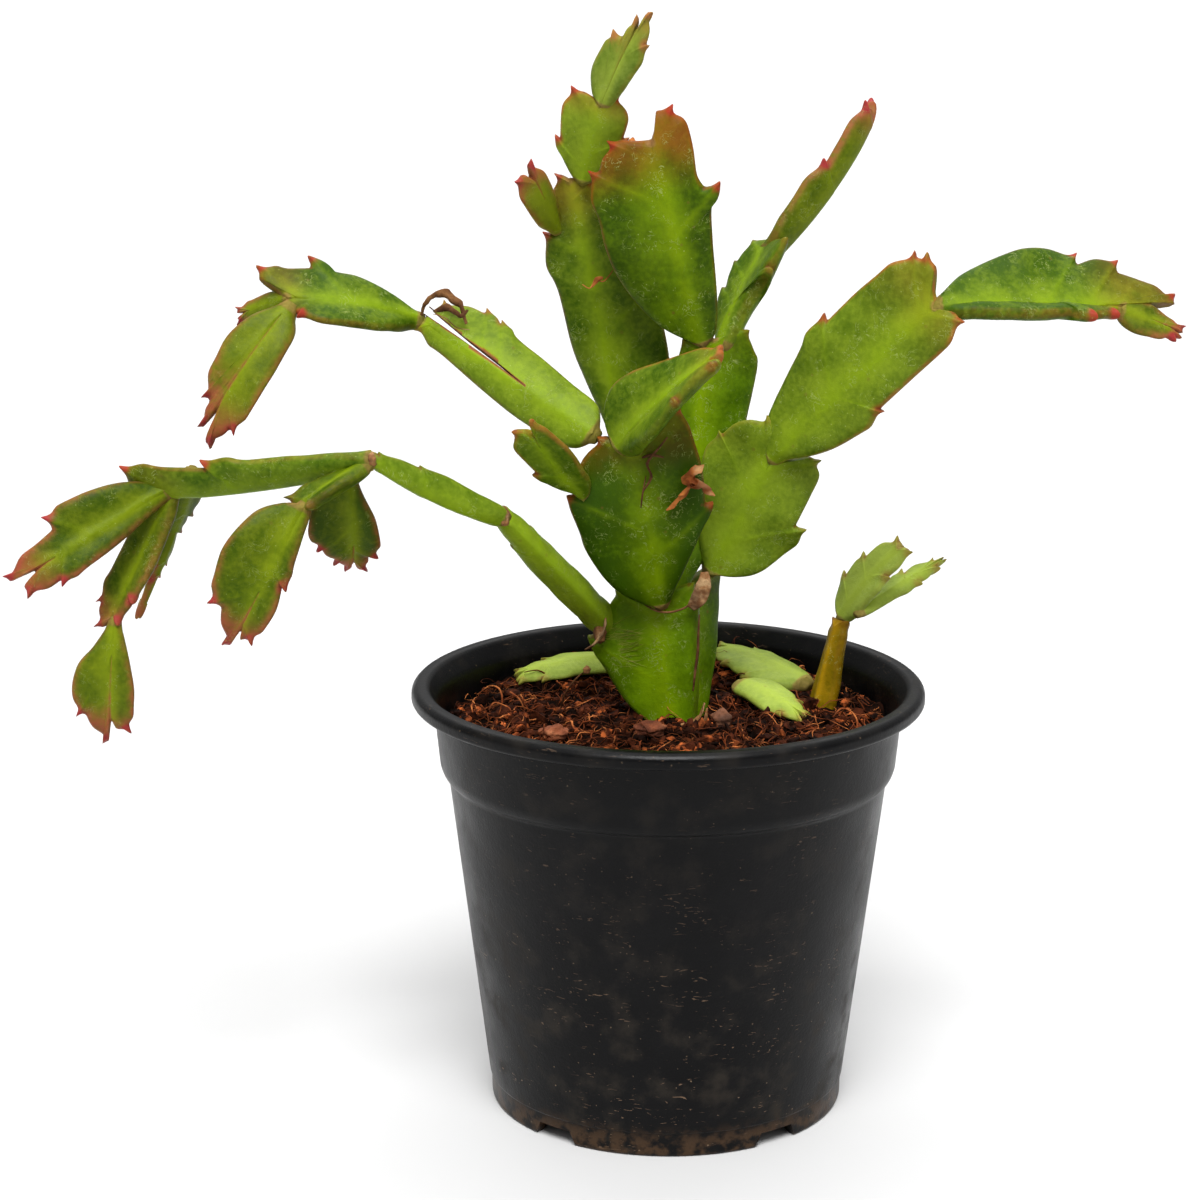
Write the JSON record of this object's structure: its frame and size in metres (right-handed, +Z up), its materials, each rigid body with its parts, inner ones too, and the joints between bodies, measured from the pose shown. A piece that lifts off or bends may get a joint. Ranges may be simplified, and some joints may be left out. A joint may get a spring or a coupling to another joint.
{
  "type": "potted christmas cactus",
  "caption": "Christmas cactus with flat, claw-edged stem segments arching out of coir soil in a round black nursery pot with a stepped wall.",
  "frame": {"origin": "middle of the part's footprint, on the surface that the pot stands on", "axes": "+Z up along the pot's axis, -Y towards the viewer of the picture, +X to the viewer's right"},
  "size_m": [0.2618, 0.12, 0.255],
  "materials": {
    "pot_plastic": "satin near-black moulded plastic, scuffed and dusty low down",
    "coir_mix": "rough reddish-brown coir fibre and peat",
    "pebble_stone": "dull small stone",
    "bark": "rough bark",
    "old_stem_green": "waxy skin, dark green with brown edges and corky scars",
    "stem_green": "waxy skin, mid green with a yellow-green midrib and red margins",
    "young_stem_red_green": "waxy skin, olive green flushed pink-red at the edges",
    "pale_stem_green": "waxy skin, pale yellow-green",
    "woody_stem": "dry yellow-olive to orange-brown stem"
  },
  "bodies": {
    "root": {"pot": "pot_plastic", "trunk_segment": "old_stem_green", "front_segment": "old_stem_green", "front_left_segment": "stem_green", "front_top_segment": "stem_green", "right_segment_1": "stem_green", "right_segment_2": "stem_green", "right_segment_3": "stem_green", "right_young_tip": "young_stem_red_green", "middle_segment": "old_stem_green", "tall_segment": "old_stem_green", "side_segment_1": "stem_green", "side_segment_2": "young_stem_red_green", "back_segment_1": "old_stem_green", "back_segment_2": "stem_green", "back_segment_3": "stem_green", "back_segment_4": "pale_stem_green", "back_young_segment": "young_stem_red_green", "upper_left_segment_1": "stem_green", "upper_left_segment_2": "stem_green", "upper_left_segment_3": "young_stem_red_green", "upper_left_young_tip": "young_stem_red_green", "lower_left_segment_1": "stem_green", "lower_left_segment_2": "stem_green", "lower_left_segment_3": "stem_green", "lower_left_end_1": "young_stem_red_green", "lower_left_end_2": "young_stem_red_green", "lower_left_end_3": "young_stem_red_green", "lower_left_end_4": "young_stem_red_green", "lower_left_end_5": "young_stem_red_green", "lower_left_short_segment": "young_stem_red_green", "lower_left_hanging_1": "young_stem_red_green", "lower_left_hanging_2": "young_stem_red_green", "small_stem": "woody_stem", "small_stem_segment_1": "pale_stem_green", "small_stem_segment_2": "pale_stem_green", "lying_segment_1": "pale_stem_green", "lying_segment_2": "pale_stem_green", "lying_segment_3": "pale_stem_green", "pebble": "pebble_stone", "bark_chunk_1": "bark", "bark_chunk_2": "bark", "soil": "coir_mix"}
  },
  "joints": []
}
